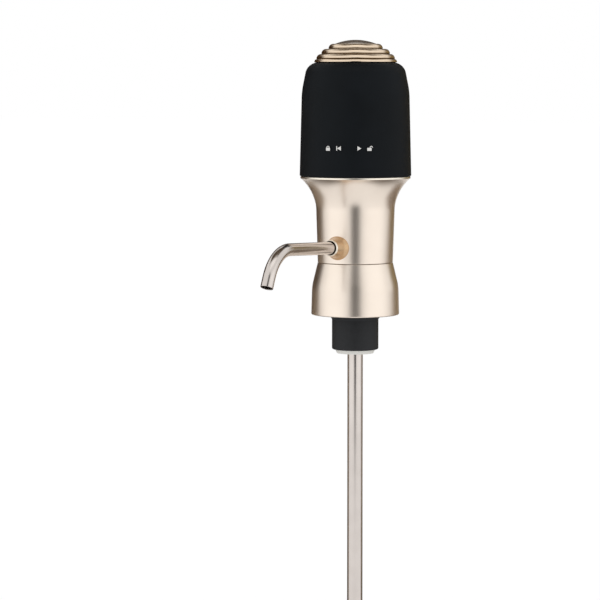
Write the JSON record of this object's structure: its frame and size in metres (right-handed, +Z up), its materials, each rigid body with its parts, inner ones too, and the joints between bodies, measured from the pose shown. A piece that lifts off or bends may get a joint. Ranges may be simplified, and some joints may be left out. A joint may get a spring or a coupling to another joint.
{
  "type": "wine aerator",
  "caption": "Electric wine aerator that plugs into a bottle, with a push button on a twist-off battery cover, an air pump in a flared neck, a bent swivelling spout and a telescopic dip tube.",
  "frame": {"origin": "on the axis, in the plane where the bottle's lip meets the seat flange", "axes": "+Z up along the axis, -Y towards the spout"},
  "size_m": [0.043, 0.0923, 0.2405],
  "materials": {
    "champagne_gold": "satin",
    "gold_plated_brass": "polished",
    "black_silicone": "matt",
    "stainless": "polished",
    "white_plastic": "satin",
    "red_silicone": "matt",
    "clear_silicone": "satin",
    "dark_plastic": "satin",
    "motor_steel": "satin",
    "magnet": "matt",
    "armature": "satin",
    "brass_terminal": "polished",
    "lead_red": "satin",
    "contact_nickel": "satin",
    "circuit_board": "gloss",
    "red_plastic": "satin",
    "black_plastic": "matt",
    "bezel_gold": "polished",
    "button_gold": "polished",
    "battery_cell": "satin"
  },
  "bodies": {
    "base": {"lower_collar": "champagne_gold", "neck_shell": "champagne_gold", "spout_socket": "gold_plated_brass", "bottle_stopper": "black_silicone", "wine_manifold": "white_plastic", "check_valve": "red_silicone", "air_inlet": "white_plastic", "air_hose": "clear_silicone", "dip_tube_upper": "stainless", "dip_tube_guide": "white_plastic", "pump_cradle": "dark_plastic", "pump_head": "dark_plastic", "pump_diaphragm": "black_silicone", "pump_valve_cap": "dark_plastic", "motor_can": "motor_steel", "motor_magnets": "magnet", "motor_end_cap": "dark_plastic", "motor_terminals": "brass_terminal", "motor_leads": "lead_red", "battery_tray": "dark_plastic", "tray_screws": "motor_steel", "lower_contacts": "contact_nickel", "upper_contacts": "contact_nickel", "battery_cell_1": "battery_cell", "battery_cell_2": "battery_cell", "battery_cell_3": "battery_cell", "battery_cell_4": "battery_cell", "battery_cell_5": "battery_cell", "battery_cell_6": "battery_cell", "switch_board": "circuit_board", "switch_body": "dark_plastic"},
    "spout_seal": {"spout_seal": "black_silicone"},
    "spout": {"spout_tube": "stainless"},
    "sliding_dip_tube": {"dip_tube_lower": "stainless", "dip_tube_foot": "white_plastic"},
    "motor_rotor": {"motor_armature": "armature", "pump_eccentric": "white_plastic"},
    "switch_plunger": {"switch_plunger": "red_plastic"},
    "cover": {"battery_cover": "black_plastic", "button_bezel": "bezel_gold", "button_spring": "contact_nickel"},
    "button": {"button_cap": "button_gold"}
  },
  "joints": [
    {"name": "cover_twist", "type": "hinge", "parent": "base", "child": "cover", "pos_m": [0, 0, 0.04143], "axis": [0, 0, 1], "range_deg": [0, 30]},
    {"name": "button_press", "type": "slide", "parent": "cover", "child": "button", "axis": [0, 0, -1], "range_m": [0, 0.0015], "stiffness_N_per_m": 900, "springref_m": -0.001, "deforming": ["button_spring"]},
    {"name": "switch_stroke", "type": "slide", "parent": "base", "child": "switch_plunger", "axis": [0, 0, -1], "range_m": [0, 0.0015]},
    {"name": "spout_pull", "type": "slide", "parent": "base", "child": "spout_seal", "axis": [0, -0.9994, 0.0349], "range_m": [0, 0.012]},
    {"name": "spout_swivel", "type": "hinge", "parent": "spout_seal", "child": "spout", "pos_m": [0, -0.01999, 0.0147], "axis": [0, -0.9994, 0.0349], "continuous": true},
    {"name": "dip_tube_slide", "type": "slide", "parent": "base", "child": "sliding_dip_tube", "axis": [0, 0, -1], "range_m": [0, 0.112]},
    {"name": "motor_spin", "type": "hinge", "parent": "base", "child": "motor_rotor", "pos_m": [0, 0, 0.02745], "axis": [0, 1, 0], "continuous": true}
  ],
  "couplings": [
    {"joint": "switch_stroke", "follows": "button_press", "ratio": 1}
  ]
}
